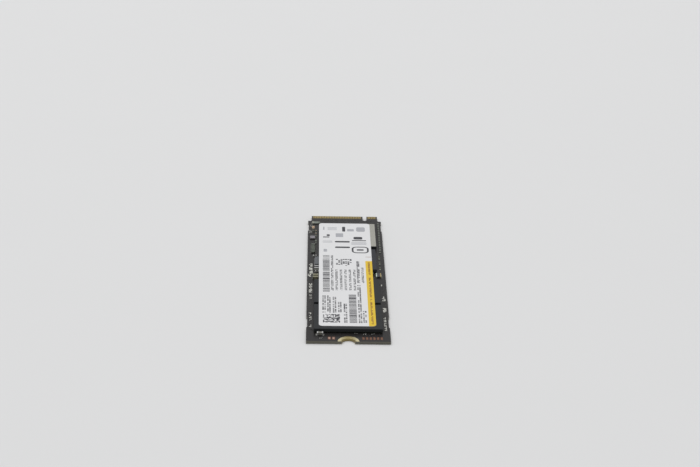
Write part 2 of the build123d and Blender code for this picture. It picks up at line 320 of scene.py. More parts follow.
controller_low, controller_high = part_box("controller_package")
controller_x = (controller_low.x + controller_high.x) / 2
power_side = -6.8 * MM
ground_every = 3
first_straight = 0.9 * MM
fan_in = 0.76
finger_places = sorted(middle.x for middle, _ in solids_of("contact_fingers_top"))
for index, x in enumerate(finger_places):
    if x < power_side:
        continue
    turn = mask_edge - first_straight
    if index % ground_every == 0:
        lay_track((x, mask_edge), (x, turn))
        via_places.append((x, turn, track_level))
        continue
    inner = controller_x + (x - controller_x) * fan_in
    end = controller_high.y - first_straight
    lay_track((x, mask_edge), (x, turn), (inner, turn - abs(x - inner)), (inner, end))

near_flash_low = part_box("nand_package_1")[0]
land_straight = 0.5 * MM
land_fan_in = 0.93
land_track_tuck = 0.3 * MM
for middle, size in solids_of("test_lands"):
    start = middle.y + size.y / 2
    turn = start + land_straight
    inner = middle.x * land_fan_in
    end = near_flash_low.y + land_track_tuck
    lay_track((middle.x, start), (middle.x, turn), (inner, turn + abs(middle.x - inner)), (inner, end))

far_flash_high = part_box("nand_package_2")[1]
edge_tracks = 3
edge_margin = 0.38 * MM
edge_step = 0.34 * MM
edge_tuck = 0.4 * MM
edge_begin = 2.2 * MM
edge_end = 1.4 * MM
bend_step = edge_step * math.tan(math.radians(45) / 2)
for side, edge in ((1, card_low.x), (-1, card_high.x)):
    for step in range(edge_tracks):
        x = edge + side * (edge_margin + step * edge_step)
        inner = side * (near_flash_low.x + edge_tuck)
        begin = near_flash_low.y + edge_begin + bend_step * step
        turn = far_flash_high.y - edge_end - bend_step * step
        bend = abs(inner - x)
        lay_track((inner, begin - bend), (x, begin), (x, turn), (inner, turn + bend))

mask_over_copper = finish(
    "mask_over_copper", tone(47, 45, 44),
    roughness=0.26, speckle=(0.2, 0.2), mottle=(5, 0.25), bump=0.002, specular=0.3,
)
track_sizes = {"width": track_width, "height": 2 * track_rise, "material": mask_over_copper}
settle("mask_tracks", grown(track_tree(), line_mesh(track_lines), **track_sizes), "solder_mask")

# Vias. Drilled and plated holes that carry a track to another layer, tented over by the mask so that
# only a low rim with a dimple shows.


def copies_tree():
    """A copy of one shape at each point, turned about Z by the point's own turn."""
    tree, given, end = new_tree("copies", shape="Object")
    shape = add(tree, "GeometryNodeObjectInfo", {"Object": given["shape"]})
    turn = add(tree, "GeometryNodeInputNamedAttribute", {"Name": "turn"}, data_type="FLOAT")
    turned = add(tree, "ShaderNodeCombineXYZ", {"Z": turn.outputs[0]})
    inputs = {
        "Points": given["Geometry"],
        "Instance": shape.outputs["Geometry"],
        "Rotation": turned.outputs[0],
    }
    tree.links.new(add(tree, "GeometryNodeInstanceOnPoints", inputs).outputs[0], end)
    return tree


copies = copies_tree()


def as_mesh(name, shape, material):
    """A finished bmesh shape as a mesh of one material."""
    mesh = bpy.data.meshes.new(name)
    shape.to_mesh(mesh)
    shape.free()
    mesh.materials.append(material)
    return mesh


def copied(name, shape, places, material, turns=None):
    """One mesh of copies of a bmesh shape at these places."""
    pattern = new_object(name, as_mesh(name, shape, material))
    spots = bpy.data.meshes.new(name)
    spots.from_pydata(places, [], [])
    turn = spots.attributes.new("turn", "FLOAT", "POINT")
    turn.data.foreach_set("value", turns or [0.0] * len(places))
    mesh = grown(copies, spots, shape=pattern, material=material)
    bpy.data.objects.remove(pattern)
    return mesh


def bridge(shape, loops):
    """Adds faces from each loop of points to the next. A pole is a loop of one point, repeated."""
    for loop, following in zip(loops, loops[1:]):
        for step in range(len(loop)):
            ahead = (step + 1) % len(loop)
            corners = (loop[step], loop[ahead], following[ahead], following[step])
            shape.faces.new(list(dict.fromkeys(corners)))


def turned_shape(profile, sides):
    """A closed shape turned from a profile of radius and height, its first and last points on the axis."""
    shape = bmesh.new()
    angles = [2 * math.pi * step / sides for step in range(sides)]
    rings = []
    for radius, height in profile:
        if radius == 0:
            rings.append([shape.verts.new((0, 0, height))] * sides)
            continue
        round_about = [(radius * math.cos(angle), radius * math.sin(angle), height) for angle in angles]
        rings.append([shape.verts.new(point) for point in round_about])
    bridge(shape, rings)
    bmesh.ops.recalc_face_normals(shape, faces=shape.faces)
    for face in shape.faces:
        face.smooth = True
    return shape


via_radius = 0.23 * MM
via_rise = 0.016 * MM
via_sides = 14
via_shares = ((0, -1), (1, -1), (0.92, 0.8), (0.7, 1), (0.45, 0.5), (0, 0.2))
via_profile = [(via_radius * out, via_rise * height) for out, height in via_shares]
left_margin = 1.5 * MM
left_via_step = 0.9 * MM
right_margin = 0.5 * MM
right_via_step = 0.6 * MM
for middle, _ in solids_of("bypass_capacitors"):
    if middle.x < controller_low.x - left_margin:
        via_places.append((middle.x - left_via_step, middle.y, track_level))
    if middle.x > controller_high.x + right_margin:
        via_places.append((middle.x + right_via_step, middle.y, track_level))
via_mesh = copied("vias", turned_shape(via_profile, via_sides), via_places, mask_over_copper)
settle("tented_vias", via_mesh, "solder_mask")

# Silkscreen. White ink pressed through a fine screen onto the mask and baked: rows of short bars along
# both long edges, and fine ticks beside chips and lands. It lies over the tracks.


def bars_tree():
    """Bars of ink of random length along each line, some left out."""
    sizes = dict.fromkeys(("pitch", "across", "shortest", "longest", "gap", "film"), "Float")
    tree, given, end = new_tree("ink_bars", **sizes, seed="Int")
    lines = add(tree, "GeometryNodeMeshToCurve", {0: given["Geometry"]})
    inputs = {"Curve": lines.outputs[0], "Length": given["pitch"]}
    spots = add(tree, "GeometryNodeCurveToPoints", inputs, mode="LENGTH")
    # A Random Value node takes its float limits at inputs 2 and 3. Its float is output 1, its boolean 3.
    inputs = {"Probability": given["gap"], "Seed": given["seed"]}
    missing = add(tree, "FunctionNodeRandomValue", inputs, data_type="BOOLEAN").outputs[3]
    next_seed = calc(tree, "ADD", given["seed"], 1.0)
    inputs = {2: given["shortest"], 3: given["longest"], "Seed": next_seed}
    along = add(tree, "FunctionNodeRandomValue", inputs, data_type="FLOAT").outputs[1]
    inputs = {"X": given["across"], "Y": along, "Z": given["film"]}
    size = add(tree, "ShaderNodeCombineXYZ", inputs)
    inputs = {"Vector": spots.outputs["Tangent"]}
    heading = add(tree, "FunctionNodeAlignRotationToVector", inputs, axis="Y", pivot_axis="Z")
    inputs = {
        "Points": spots.outputs["Points"],
        "Selection": calc(tree, "SUBTRACT", 1.0, missing),
        "Instance": add(tree, "GeometryNodeMeshCube").outputs[0],
        "Rotation": heading.outputs[0],
        "Scale": size.outputs[0],
    }
    tree.links.new(add(tree, "GeometryNodeInstanceOnPoints", inputs).outputs[0], end)
    return tree


bars = bars_tree()


def ink_bars(material, lines, film, pitch, across, lengths, gap, seed):
    """The mesh of printed bars along lines, all in mm. The gap is the share of bars left out."""
    points = [[Vector(point) * MM for point in line] for line in lines]
    sizes = {"pitch": pitch, "across": across, "shortest": lengths[0], "longest": lengths[1], "film": film}
    sizes = {label: size * MM for label, size in sizes.items()}
    return grown(bars, line_mesh(points), **sizes, gap=gap, seed=seed, material=material)


silk_film = 0.026
silk_level = card_high.z / MM + silk_film / 2
silk_white = finish(
    "silkscreen", tone(214, 214, 206), roughness=0.6, speckle=(0.12, 0.3), mottle=(2, 0.2), bump=0.002
)


def mark_lines(marks, *offsets):
    """Short lines along the card through marks of place and length in mm, side by side."""
    lines = []
    for x, y, length in marks:
        ends = (y + length / 2, y - length / 2)
        lines += [[(x + step, end, silk_level) for end in ends] for step in offsets]
    return lines


bold_marks = (
    (-10.0, 5.1, 1.5), (-10.0, 2.9, 1.3), (-9.9, 0.6, 1.5), (-10.35, -1.5, 1.3), (-10.0, -7.6, 1.6),
    (-10.0, -11.2, 1.6), (10.0, -15.6, 2.3), (10.0, -22.3, 2.0),
)
light_marks = (
    (-10.0, -9.4, 0.7), (-9.9, -14.0, 0.6), (-9.9, -15.9, 0.6), (-10.0, -24.8, 0.9), (-9.9, -26.4, 1.2),
    (-9.85, -28.4, 1.1), (-9.9, -31.7, 0.8), (9.9, -7.4, 0.5), (9.85, -26.9, 0.6), (9.9, -28.5, 0.9),
    (9.9, -30.4, 1.1), (9.95, -32.2, 1.2), (9.95, -33.5, 0.6),
)
tick_marks = (
    (-10.0, 32.3, 1.2), (-10.2, 28.1, 1.8), (2.0, -35.8, 0.5), (4.25, -36.0, 0.5), (6.4, -35.9, 0.5),
    (-7.1, -38.35, 0.4),
)
three_abreast = (-0.3, 0, 0.3)
two_abreast = (-0.22, 0.12)
# Each row has its lines, film, pitch, width, shortest and longest bar, share left out, and seed.
silk_rows = (
    (mark_lines(bold_marks, *three_abreast), silk_film, 0.42, 0.27, (0.26, 0.46), 0.2, 11),
    (mark_lines(light_marks, *two_abreast), silk_film, 0.4, 0.26, (0.2, 0.42), 0.3, 12),
    (mark_lines(tick_marks, *three_abreast), silk_film, 0.25, 0.1, (0.1, 0.2), 0.3, 13),
)
silk_parts = [ink_bars(silk_white, *row) for row in silk_rows]


def joined(name, meshes):
    """Several meshes as one, keeping the first one's material."""
    whole = bmesh.new()
    for mesh in meshes:
        whole.from_mesh(mesh)
    return as_mesh(name, whole, meshes[0].materials[0])


settle("silkscreen_marks", joined("silkscreen_marks", silk_parts), "solder_mask")

# Contacts. Copper fingers plated with hard gold on both faces of the contact end, flush with the mask.
# Sockets have wiped a paler line along the middle of each.
contact_pitch = 0.5 * MM
hard_gold = tone(192, 168, 102)
wiped_gold = tone(218, 200, 146)
wipe_limits = (0.42, 0.58)
wipe_softness = 0.05
wipe_share = 0.6
wipe_begin = 1.8 * MM
wipe_end = 0.7 * MM
wipe_fade = 0.2 * MM


def finger_colour(tree):
    """Gold with a wiped line along each finger."""
    place = place_of(tree)
    across = calc(tree, "SUBTRACT", place["X"], finger_places[0] - contact_pitch / 2)
    turn = calc(tree, "DIVIDE", across, contact_pitch)
    along = between(tree, place["Y"], card_high.y - wipe_begin, card_high.y - wipe_end, wipe_fade)
    stripe = between(tree, calc(tree, "FRACT", turn), *wipe_limits, wipe_softness)
    wiped = calc(tree, "MULTIPLY", along, calc(tree, "MULTIPLY", stripe, wipe_share))
    return mixed(tree, wiped, hard_gold, wiped_gold)


finger_gold = finish(
    "hard_gold", finger_colour,
    roughness=0.3, speckle=(0.05, 0.25), mottle=(3, 0.2), bump=0.0012, metallic=1.0, stretch=(1, 0.12, 1),
)
dress(finger_gold, "contact_fingers_top", "contact_fingers_bottom")

# Screw notch plating. The half hole in the near end is plated with gold like a via: a flat land on each
# face and a barrel between them, with the lips rounded by the plating. A screw head rubs rings on it. Its
# sides and its rim are lightened by a painted highlight.
notch_middle = Vector((0, card_low.y, 0))
land_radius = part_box("screw_notch_ring")[1].x
barrel_radius = 1.712 * MM
barrel_back = 1.77 * MM
lip_radius = 0.09 * MM
lip_steps = 4
notch_steps = 56
plating = 0.04 * MM
sharp_edge = math.radians(40)


def plating_profile():
    """Radius and height round the section of the plating, the lips as quarter circles."""
    points = [(land_radius, card_high.z - plating), (land_radius, card_high.z)]
    for centre_height, first_angle in ((card_high.z - lip_radius, 90), (lip_radius, 180)):
        for step in range(lip_steps + 1):
            angle = math.radians(first_angle + 90 * step / lip_steps)
            radius = barrel_radius + lip_radius + lip_radius * math.cos(angle)
            points.append((radius, centre_height + lip_radius * math.sin(angle)))
    points += [(land_radius, 0), (land_radius, plating)]
    points += [(barrel_back, plating), (barrel_back, card_high.z - plating)]
    return points


def swept(shape, loops):
    """Adds the faces along a row of loops of points, and closes both its ends."""
    bridge(shape, loops)
    shape.faces.new(loops[0])
    shape.faces.new(loops[-1])


def notch_plating(material):
    """The section swept half round the notch."""
    shape = bmesh.new()
    profile = plating_profile()
    rings = []
    for step in range(notch_steps + 1):
        angle = math.pi * step / notch_steps
        outward = Vector((math.cos(angle), math.sin(angle), 0))
        rings.append([shape.verts.new(notch_middle + outward * r + Vector((0, 0, z))) for r, z in profile])
    swept(shape, rings)
    bmesh.ops.recalc_face_normals(shape, faces=shape.faces)
    for face in shape.faces:
        face.smooth = len(face.verts) == 4
    mesh = as_mesh("screw_notch_plating", shape, material)
    mesh.set_sharp_from_angle(angle=sharp_edge)
    return mesh


dull_gold = tone(146, 131, 88)
# The paler gold stands both for rings rubbed by a screw head and for a painted highlight.
rubbed_and_highlight_gold = tone(226, 216, 176)
rub_spacing = 0.16 * MM
rub_share = 0.1
rim_highlight_width = 0.7 * MM
rim_highlight_fade = 0.25 * MM
side_highlight_share = 0.25


def land_colour(tree):
    """Gold with faint rings where a screw head has turned on it, and a painted highlight at its sides and
    rim.
    """
    place = place_of(tree)
    along = calc(tree, "SUBTRACT", place["Y"], notch_middle.y)
    squares = [calc(tree, "MULTIPLY", value, value) for value in (place["X"], along)]
    reach = calc(tree, "SQRT", calc(tree, "ADD", *squares))
    wave = calc(tree, "SINE", calc(tree, "MULTIPLY", reach, 2 * math.pi / rub_spacing))
    rings = calc(tree, "MULTIPLY", calc(tree, "ADD", wave, 1.0), rub_share)
    # Painted highlight: the gold is lightened towards the left and right sides, and there along the rim.
    side = calc(tree, "POWER", calc(tree, "DIVIDE", calc(tree, "ABSOLUTE", place["X"]), reach), 2.0)
    rim_highlight = between(tree, reach, land_radius - rim_highlight_width, land_radius + rim_highlight_width, rim_highlight_fade)
    rubbed = calc(tree, "ADD", rings, calc(tree, "MULTIPLY", side, calc(tree, "ADD", rim_highlight, side_highlight_share)))
    return mixed(tree, rubbed, dull_gold, rubbed_and_highlight_gold)


notch_gold = finish(
    "notch_gold", land_colour,
    roughness=0.34, speckle=(0.06, 0.25), mottle=(1.5, 0.3), bump=0.0015, metallic=1.0,
)
settle("screw_notch_plating", notch_plating(notch_gold), "gold_plating", "screw_notch_ring")

# Test lands. Bare copper left open in the mask, dulled by handling: a bright pair left of the notch and
# a darker, browned row right of it.
copper_rim = tone(104, 62, 46)
pair_copper = tone(174, 148, 132)
row_copper = tone(126, 98, 82)
rubbed_limits = (0.27, 0.73)
rubbed_softness = 0.1
rubbed_from_near = 0.2 * MM
rubbed_from_far = 0.15 * MM
rubbed_fade = 0.15 * MM


def land_middles(tree, across, pair):
    """One over the middle of each land in one of the two rows, and nought at its rim and beyond the row."""
    row = sorted(middle.x for middle, _ in solids_of("test_lands") if (middle.x < 0) == pair)
    pitch = row[1] - row[0]
    turn = calc(tree, "DIVIDE", calc(tree, "SUBTRACT", across, row[0] - pitch / 2), pitch)
    within = between(tree, across, row[0] - pitch / 2, row[-1] + pitch / 2)
    rubbed = between(tree, calc(tree, "FRACT", turn), *rubbed_limits, rubbed_softness)
    return calc(tree, "MULTIPLY", within, rubbed)


def copper_colour(tree):
    """Red-brown rims, pale rubbed middles left of the notch and dull brown middles right of it."""
    place = place_of(tree)
    low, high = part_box("test_lands")
    inside = between(tree, place["Y"], low.y + rubbed_from_near, high.y - rubbed_from_far, rubbed_fade)
    colour = copper_rim
    for pair, middle in ((True, pair_copper), (False, row_copper)):
        share = calc(tree, "MULTIPLY", inside, land_middles(tree, place["X"], pair))
        colour = mixed(tree, share, colour, middle)
    return colour


copper = finish(
    "dull_copper", copper_colour,
    roughness=0.5, speckle=(0.14, 0.5), mottle=(0.6, 0.5), bump=0.003, metallic=0.85,
)
dress(copper, "test_lands")

# Solder balls. Each package stands on a grid of tin balls, melted between its lands and the card's so
# that they bulge at the waist and are flat above and below.
ball_bands = 4
ball_sides = 10


def ball_profile(radius, height):
    """Radius and height up a ball cut flat at both ends."""
    steepest = math.asin(height / 2 / radius)
    angles = [steepest * (2 * step / ball_bands - 1) for step in range(ball_bands + 1)]
    middle = [(radius * math.cos(angle), radius * math.sin(angle)) for angle in angles]
    return [(0, -height / 2), *middle, (0, height / 2)]


solder = finish(
    "reflowed_solder", tone(196, 197, 200),
    roughness=0.32, speckle=(0.08, 0.2), mottle=(0.6, 0.2), bump=0.002, metallic=1.0,
)
for balls in ("nand_solder_balls_1", "nand_solder_balls_2", "dram_solder_balls", "controller_solder_balls"):
    grid = solids_of(balls)
    ball_size = grid[0][1]
    ball = turned_shape(ball_profile(ball_size.x / 2, ball_size.z), ball_sides)
    ball_mesh = copied(balls, ball, [middle for middle, _ in grid], solder)
    settle(balls.replace("solder", "reflowed"), ball_mesh, "solder", balls)

# Packages. Silicon on a thin green-black laminate, moulded over with a black filled epoxy and sawn
# apart, so the sides are plain and the laminate shows as a line along the foot.
packages = ("nand_package_1", "nand_package_2", "dram_package", "controller_package")
mould_black = tone(43, 45, 47)
memory_black = tone(51, 52, 57)
laminate_green = tone(40, 46, 38)
memory_low, memory_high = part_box("dram_package")
memory_margin = 0.2 * MM
foot_height = 0.16 * MM
foot_level = memory_low.z
foot_softness = 0.01 * MM


def mould_colour(tree):
    """Black mould compound above a line of laminate, a shade paler on the working memory."""
    place = place_of(tree)
    paler = between(tree, place["Y"], memory_low.y - memory_margin, memory_high.y + memory_margin)
    compound = mixed(tree, paler, mould_black, memory_black)
    foot = between(tree, place["Z"], foot_level - foot_height, foot_level + foot_height, foot_softness)
    return mixed(tree, foot, compound, laminate_green)


mould = finish(
    "mould_compound", mould_colour,
    roughness=0.6, speckle=(0.09, 0.34), mottle=(5, 0.16), bump=0.006, specular=0.22,
)
dress(mould, *packages)

# Heat spreader. A thin copper plate under satin nickel, bonded on the controller to pass its heat to the
# label. Rolling has left fine lines along it.
nickel = finish(
    "satin_nickel", tone(178, 177, 168),
    roughness=0.4, speckle=(0.07, 0.16), mottle=(4, 0.14), bump=0.0015, metallic=0.9, stretch=(1, 0.05, 1),
)
dress(nickel, "controller_heat_spreader")

# Power manager. A thin flat package with no leads, moulded in a greyer compound, soldered down on a row
# of tinned lands along each side. Its left side shows beside the label.
manager_mould = finish(
    "manager_mould", tone(96, 99, 102),
    roughness=0.55, speckle=(0.07, 0.3), mottle=(2, 0.15), bump=0.005, specular=0.35,
)
dress(manager_mould, "power_manager")
dress(solder, "power_manager_lands")

# Power inductors. A coil pressed inside a block of coated iron powder, dark grey and finely pitted,
# standing on two tinned plates that are bent up its ends.
powder = finish(
    "pressed_powder", tone(70, 68, 74),
    roughness=0.62, speckle=(0.1, 0.6), mottle=(1.2, 0.2), bump=0.012, specular=0.4,
)
dress(powder, "power_inductors")
tin = finish(
    "matt_tin", tone(206, 206, 204),
    roughness=0.36, speckle=(0.09, 0.22), mottle=(0.8, 0.18), bump=0.003, metallic=1.0,
)
dress(tin, "power_inductor_plates")

# Clock crystal. A quartz blank sealed in a dark ceramic tray by a thin metal lid, which is welded on
# round its rim and has dulled to a lilac grey.
tray = finish(
    "ceramic_tray", tone(84, 80, 79), roughness=0.5, speckle=(0.1, 0.3), mottle=(0.8, 0.2), bump=0.004
)
dress(tray, "crystal_case")
lid = finish(
    "crystal_lid", tone(150, 146, 152),
    roughness=0.42, speckle=(0.08, 0.2), mottle=(0.9, 0.3), bump=0.002, metallic=0.85,
)
dress(lid, "crystal_lid")

# Chip parts. Fired ceramic blocks with their ends dipped in tin, soldered to the card so that a smooth
# fillet climbs each end. Resistors are white inside with a black glaze on top.
edge_share = 0.12
edge_segments = 2
cap_overlap = 0.08 * MM
fillet_climb = 0.62
fillet_reach = 0.3 * MM
fillet_steps = 5
fillet_toe = 0.01 * MM
fillet_waist = 0.92
fillet_spread = 0.16
fillet_lean = 0.94


def rounded_block(shape, middle, size, radius):
    """Adds a block with rounded edges to a bmesh, standing on its middle's height."""
    block = bmesh.ops.create_cube(shape, size=1.0)["verts"]
    bmesh.ops.scale(shape, vec=size, verts=block)
    bmesh.ops.translate(shape, vec=Vector(middle) + Vector((0, 0, size[2] / 2)), verts=block)
    edges = list({edge for vertex in block for edge in vertex.link_edges})
    bmesh.ops.bevel(shape, geom=edges, offset=radius, segments=edge_segments, profile=0.5, affect="EDGES")


def end_fillet(shape, side, start, width, rise):
    """Adds a hollow wedge of solder at one end of a chip, wider at its foot."""
    sections = []
    for step in range(fillet_steps + 1):
        share = step / fillet_steps
        x = side * (start + fillet_reach * share)
        half = width / 2 * (fillet_waist + fillet_spread * share)
        top = rise * (1 - share) ** 2 + fillet_toe
        corners = ((x, -half, 0), (x, half, 0), (x, half * fillet_lean, top), (x, -half * fillet_lean, top))
        sections.append([shape.verts.new(corner) for corner in corners])
    swept(shape, sections)


glaze_face = 0.4
glaze_black = tone(30, 30, 33)
white_ceramic = tone(196, 194, 188)
brown_ceramic = tone(112, 84, 66)
green_ceramic = tone(104, 110, 100)
grey_ceramic = tone(92, 92, 90)
brown_from = 24 * MM
right_from = 9 * MM
right_half_from = 0.0
left_end_from = -9 * MM
middle_from = -20 * MM
far_from = 20 * MM


def glaze_colour(tree):
    """White ceramic with a black glaze on the upper face."""
    top = calc(tree, "GREATER_THAN", upward(tree), glaze_face)
    return mixed(tree, top, white_ceramic, glaze_black)


def bypass_colour(tree):
    """Brown ceramic beside the controller's far half, grey-green in the stack below, grey on the right."""
    place = place_of(tree)
    brown = calc(tree, "GREATER_THAN", place["Y"], brown_from)
    left = mixed(tree, brown, green_ceramic, brown_ceramic)
    return mixed(tree, calc(tree, "GREATER_THAN", place["X"], right_from), left, grey_ceramic)


def by_group(far, middle, near):
    """A colour function for parts at the far end of the card, near its middle and at its near end."""

    def drawn(tree):
        along = place_of(tree)["Y"]
        beyond = mixed(tree, calc(tree, "GREATER_THAN", along, middle_from), near, middle)
        return mixed(tree, calc(tree, "GREATER_THAN", along, far_from), beyond, far)

    return drawn


def two_sided(left, right, limit):
    """A colour function: one colour left of a limit across the card and another right of it."""
    return lambda tree: mixed(tree, calc(tree, "GREATER_THAN", place_of(tree)["X"], limit), left, right)


bulk_body = by_group(tone(146, 110, 80), tone(130, 127, 102), tone(114, 112, 104))
bulk_ends = by_group(tone(222, 206, 182), tone(150, 148, 130), tone(206, 206, 204))
fuse_ends = two_sided(tone(158, 158, 146), tone(112, 117, 110), left_end_from)
resistor_ends = two_sided(tone(206, 206, 202), tone(112, 114, 92), right_half_from)
choke_ends = two_sided(tone(208, 222, 208), tone(178, 160, 112), right_from)
# The near group's fillets are pale, a painted glint of light on the solder; the far and middle groups are
# dull tin.
fillet_tin_and_glint = by_group(tone(118, 120, 114), tone(120, 122, 116), tone(232, 232, 222))
# Each finish has its name, colour, roughness, speckle, mottle, bump and, on metal, its metallic share.
chip_looks = (
    ("fuse_glaze", tone(118, 124, 116), 0.4, (0.1, 0.2), (0.8, 0.25), 0.004),
    ("tan_ceramic", bulk_body, 0.42, (0.08, 0.2), (0.7, 0.3), 0.003),
    ("brown_ceramic", bypass_colour, 0.42, (0.06, 0.2), (0.7, 0.3), 0.003),
    ("shunt_glaze", glaze_colour, 0.35, (0.08, 0.15), (0.7, 0.15), 0.003),
    ("resistor_glaze", glaze_colour, 0.35, (0.08, 0.15), (0.7, 0.15), 0.003),
    ("choke_ferrite", tone(58, 56, 62), 0.5, (0.08, 0.4), (0.7, 0.2), 0.006),
    ("fuse_tin", fuse_ends, 0.5, (0.09, 0.3), (0.8, 0.25), 0.004, 0.6),
    ("bulk_tin", bulk_ends, 0.38, (0.09, 0.22), (0.8, 0.18), 0.003, 0.9),
    ("dull_tin", tone(116, 120, 112), 0.5, (0.09, 0.3), (0.8, 0.25), 0.004, 0.6),
    ("resistor_tin", resistor_ends, 0.45, (0.09, 0.25), (0.8, 0.2), 0.003, 0.7),
    ("choke_tin", choke_ends, 0.4, (0.09, 0.2), (0.8, 0.2), 0.003, 0.7),
    ("fillet_solder", fillet_tin_and_glint, 0.36, (0.08, 0.2), (0.6, 0.2), 0.002, 0.8),
)
chip_finishes = {"matt_tin": tin, **{look[0]: finish(*look) for look in chip_looks}}
# Each kind of chip has its slot, the finish of its body and the finish of its ends.
chips = (
    ("input_fuse", "fuse_glaze", "fuse_glaze", "fuse_tin"),
    ("bulk_capacitors", "tan_ceramic", "tan_ceramic", "bulk_tin"),
    ("bypass_capacitors", "brown_ceramic", "brown_ceramic", "dull_tin"),
    ("current_shunt", "resistor_glaze", "shunt_glaze", "matt_tin"),
    ("chip_resistors", "resistor_glaze", "resistor_glaze", "resistor_tin"),
    ("supply_choke", "ferrite", "choke_ferrite", "choke_tin"),
)


def nearest_cap(caps, middle):
    """Middle and size of the end cap that lies nearest to a chip's middle."""
    return min(caps, key=lambda cap: (cap[0] - middle).length)


fillet_meshes = []
for kind, slot, body_finish, ends_finish in chips:
    bodies = solids_of(kind)
    caps = solids_of(f"{kind}_caps")
    places, turns = [], []
    for middle, _ in bodies:
        reach = nearest_cap(caps, middle)[0] - middle
        turns.append(0.0 if abs(reach.x) > abs(reach.y) else math.pi / 2)
        places.append((middle.x, middle.y, card_high.z))
    middle, size = bodies[0]
    cap_size = nearest_cap(caps, middle)[1]
    order = (0, 1) if turns[0] == 0 else (1, 0)
    cap_length, cap_width = (cap_size[axis] for axis in order)
    body_length, body_width = (size[axis] for axis in order)
    chip_half = body_length / 2 + cap_length
    body_base = middle.z - size.z / 2 - card_high.z
    radius = edge_share * min(cap_length, cap_size.z)
    body_shape, caps_shape, fillet_shape = bmesh.new(), bmesh.new(), bmesh.new()
    body_block = (body_length + 2 * cap_overlap, body_width, size.z)
    rounded_block(body_shape, (0, 0, body_base), body_block, radius)
    for side in (-1, 1):
        cap_block = (cap_length, cap_width, cap_size.z)
        rounded_block(caps_shape, (side * (chip_half - cap_length / 2), 0, 0), cap_block, radius)
        end_fillet(fillet_shape, side, chip_half - radius, cap_width, fillet_climb * cap_size.z)
    bmesh.ops.recalc_face_normals(fillet_shape, faces=fillet_shape.faces)
    body_mesh = copied(kind, body_shape, places, chip_finishes[body_finish], turns)
    settle(f"{kind}_ceramic", body_mesh, slot, kind)
    caps_mesh = copied(kind, caps_shape, places, chip_finishes[ends_finish], turns)
    settle(f"{kind}_ends", caps_mesh, "tinned_metal", f"{kind}_caps")
    fillet_meshes.append(copied(kind, fillet_shape, places, chip_finishes["fillet_solder"], turns))
settle("chip_solder_fillets", joined("chip_solder_fillets", fillet_meshes), "solder")

# Label. A printed film over thin copper, laid across the tops of the packages to spread their heat and
# held by its own glue. Between the packages nothing carries it, and it sags a little.
label_low, label_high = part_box("label")
label_corner = 1.0 * MM
print_film = 0.006 * MM
film_top = label_high.z - 2 * print_film
sag_share = 0.008
station_step = 0.5 * MM
corner_steps = 8
rests = sorted((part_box(name)[0].y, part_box(name)[1].y) for name in packages)
open_spans = [(rest[1], following[0]) for rest, following in zip(rests, rests[1:])]


def sag(y):
    """How far the film hangs below the packages' tops at a place along the card."""
    for begin, end in open_spans:
        if begin < y < end:
            share = (y - begin) / (end - begin)
            return sag_share * (end - begin) * (1 - math.cos(2 * math.pi * share)) / 2
    return 0.0


def laid_down(mesh):
    """Lets a printed mesh follow the film's sag."""
    for vertex in mesh.vertices:
        vertex.co.z -= sag(vertex.co.y)
    return mesh


def corner_cut(y):
    """How far the label's rounded corners draw its long sides in at a place along it."""
    into = label_corner - min(y - label_low.y, label_high.y - y)
    return label_corner - math.sqrt(max(label_corner**2 - max(into, 0.0) ** 2, 0.0))


def film_strip(name, left, right, near, far, bottom, top, material):
    """A film between two levels that follows the label's rounded corners and its sag."""
    count = math.ceil((far - near) / station_step)
    stations = {near + (far - near) * step / count for step in range(count + 1)}
    for step in range(corner_steps + 1):
        into = label_corner * (1 - math.cos(math.pi / 2 * step / corner_steps))
        stations |= {y for y in (label_low.y + into, label_high.y - into) if near <= y <= far}
    shape = bmesh.new()
    rings = []
    for y in sorted(stations):
        start = max(left, label_low.x + corner_cut(y))
        stop = min(right, label_high.x - corner_cut(y))
        corners = ((start, bottom), (stop, bottom), (stop, top), (start, top))
        rings.append([shape.verts.new((x, y, z - sag(y))) for x, z in corners])
    swept(shape, rings)
    bmesh.ops.recalc_face_normals(shape, faces=shape.faces)
    return as_mesh(name, shape, material)


film_white = finish(
    "label_film", tone(226, 226, 227),
    roughness=0.46, speckle=(0.25, 0.05), mottle=(9, 0.05), bump=0.002, specular=0.4,
)
label_sides = (label_low.x, label_high.x, label_low.y, label_high.y)
label_film = film_strip("label_film", *label_sides, label_low.z, film_top, film_white)
settle("label_film", label_film, "label_sheet", "label")

# Label band. A field of yellow ink printed down the right side of the label, with a broken double line of
# amber bars printed over it along its middle.
band_left = 5.46 * MM
band_far = 5.5 * MM
band_yellow = finish(
    "band_yellow", tone(227, 192, 52),
    roughness=0.42, speckle=(0.2, 0.06), mottle=(6, 0.06), bump=0.0015, specular=0.25,
)
band_sides = (band_left, label_high.x, label_low.y, band_far)
band_levels = (film_top - print_film / 2, film_top + print_film / 2)
settle("label_band", film_strip("label_band", *band_sides, *band_levels, band_yellow), "label_sheet")

ink_film = 2 * print_film / MM
ink_level = (film_top + print_film / 2) / MM
amber = finish(
    "band_amber", tone(140, 94, 24), roughness=0.5, speckle=(0.2, 0.1), mottle=(4, 0.1), bump=0.001
)
amber_columns = (6.28, 6.56)
amber_runs = ((4.4, -3.2), (-5.4, -17.0), (-18.4, -19.4), (-20.4, -32.6))
head_ends, head_along = (5.8, 6.9), 8.2
amber_lines = [[(x, end, ink_level) for end in run] for x in amber_columns for run in amber_runs]
amber_lines.append([(x, head_along, ink_level) for x in head_ends])
amber_bars = ink_bars(
    amber, amber_lines, ink_film, pitch=0.52, across=0.27, lengths=(0.28, 0.5), gap=0.12, seed=60
)
settle("label_band_print", laid_down(amber_bars), "label_sheet")

# Label print. Black ink melted onto the film from a ribbon, in plain fields: rows of short bars, two
# fields of stripes, a block of bold bars and a block of squares.
ink_black = finish(
    "label_ink", tone(52, 52, 58), roughness=0.5, speckle=(0.15, 0.15), mottle=(4, 0.1), bump=0.001
)


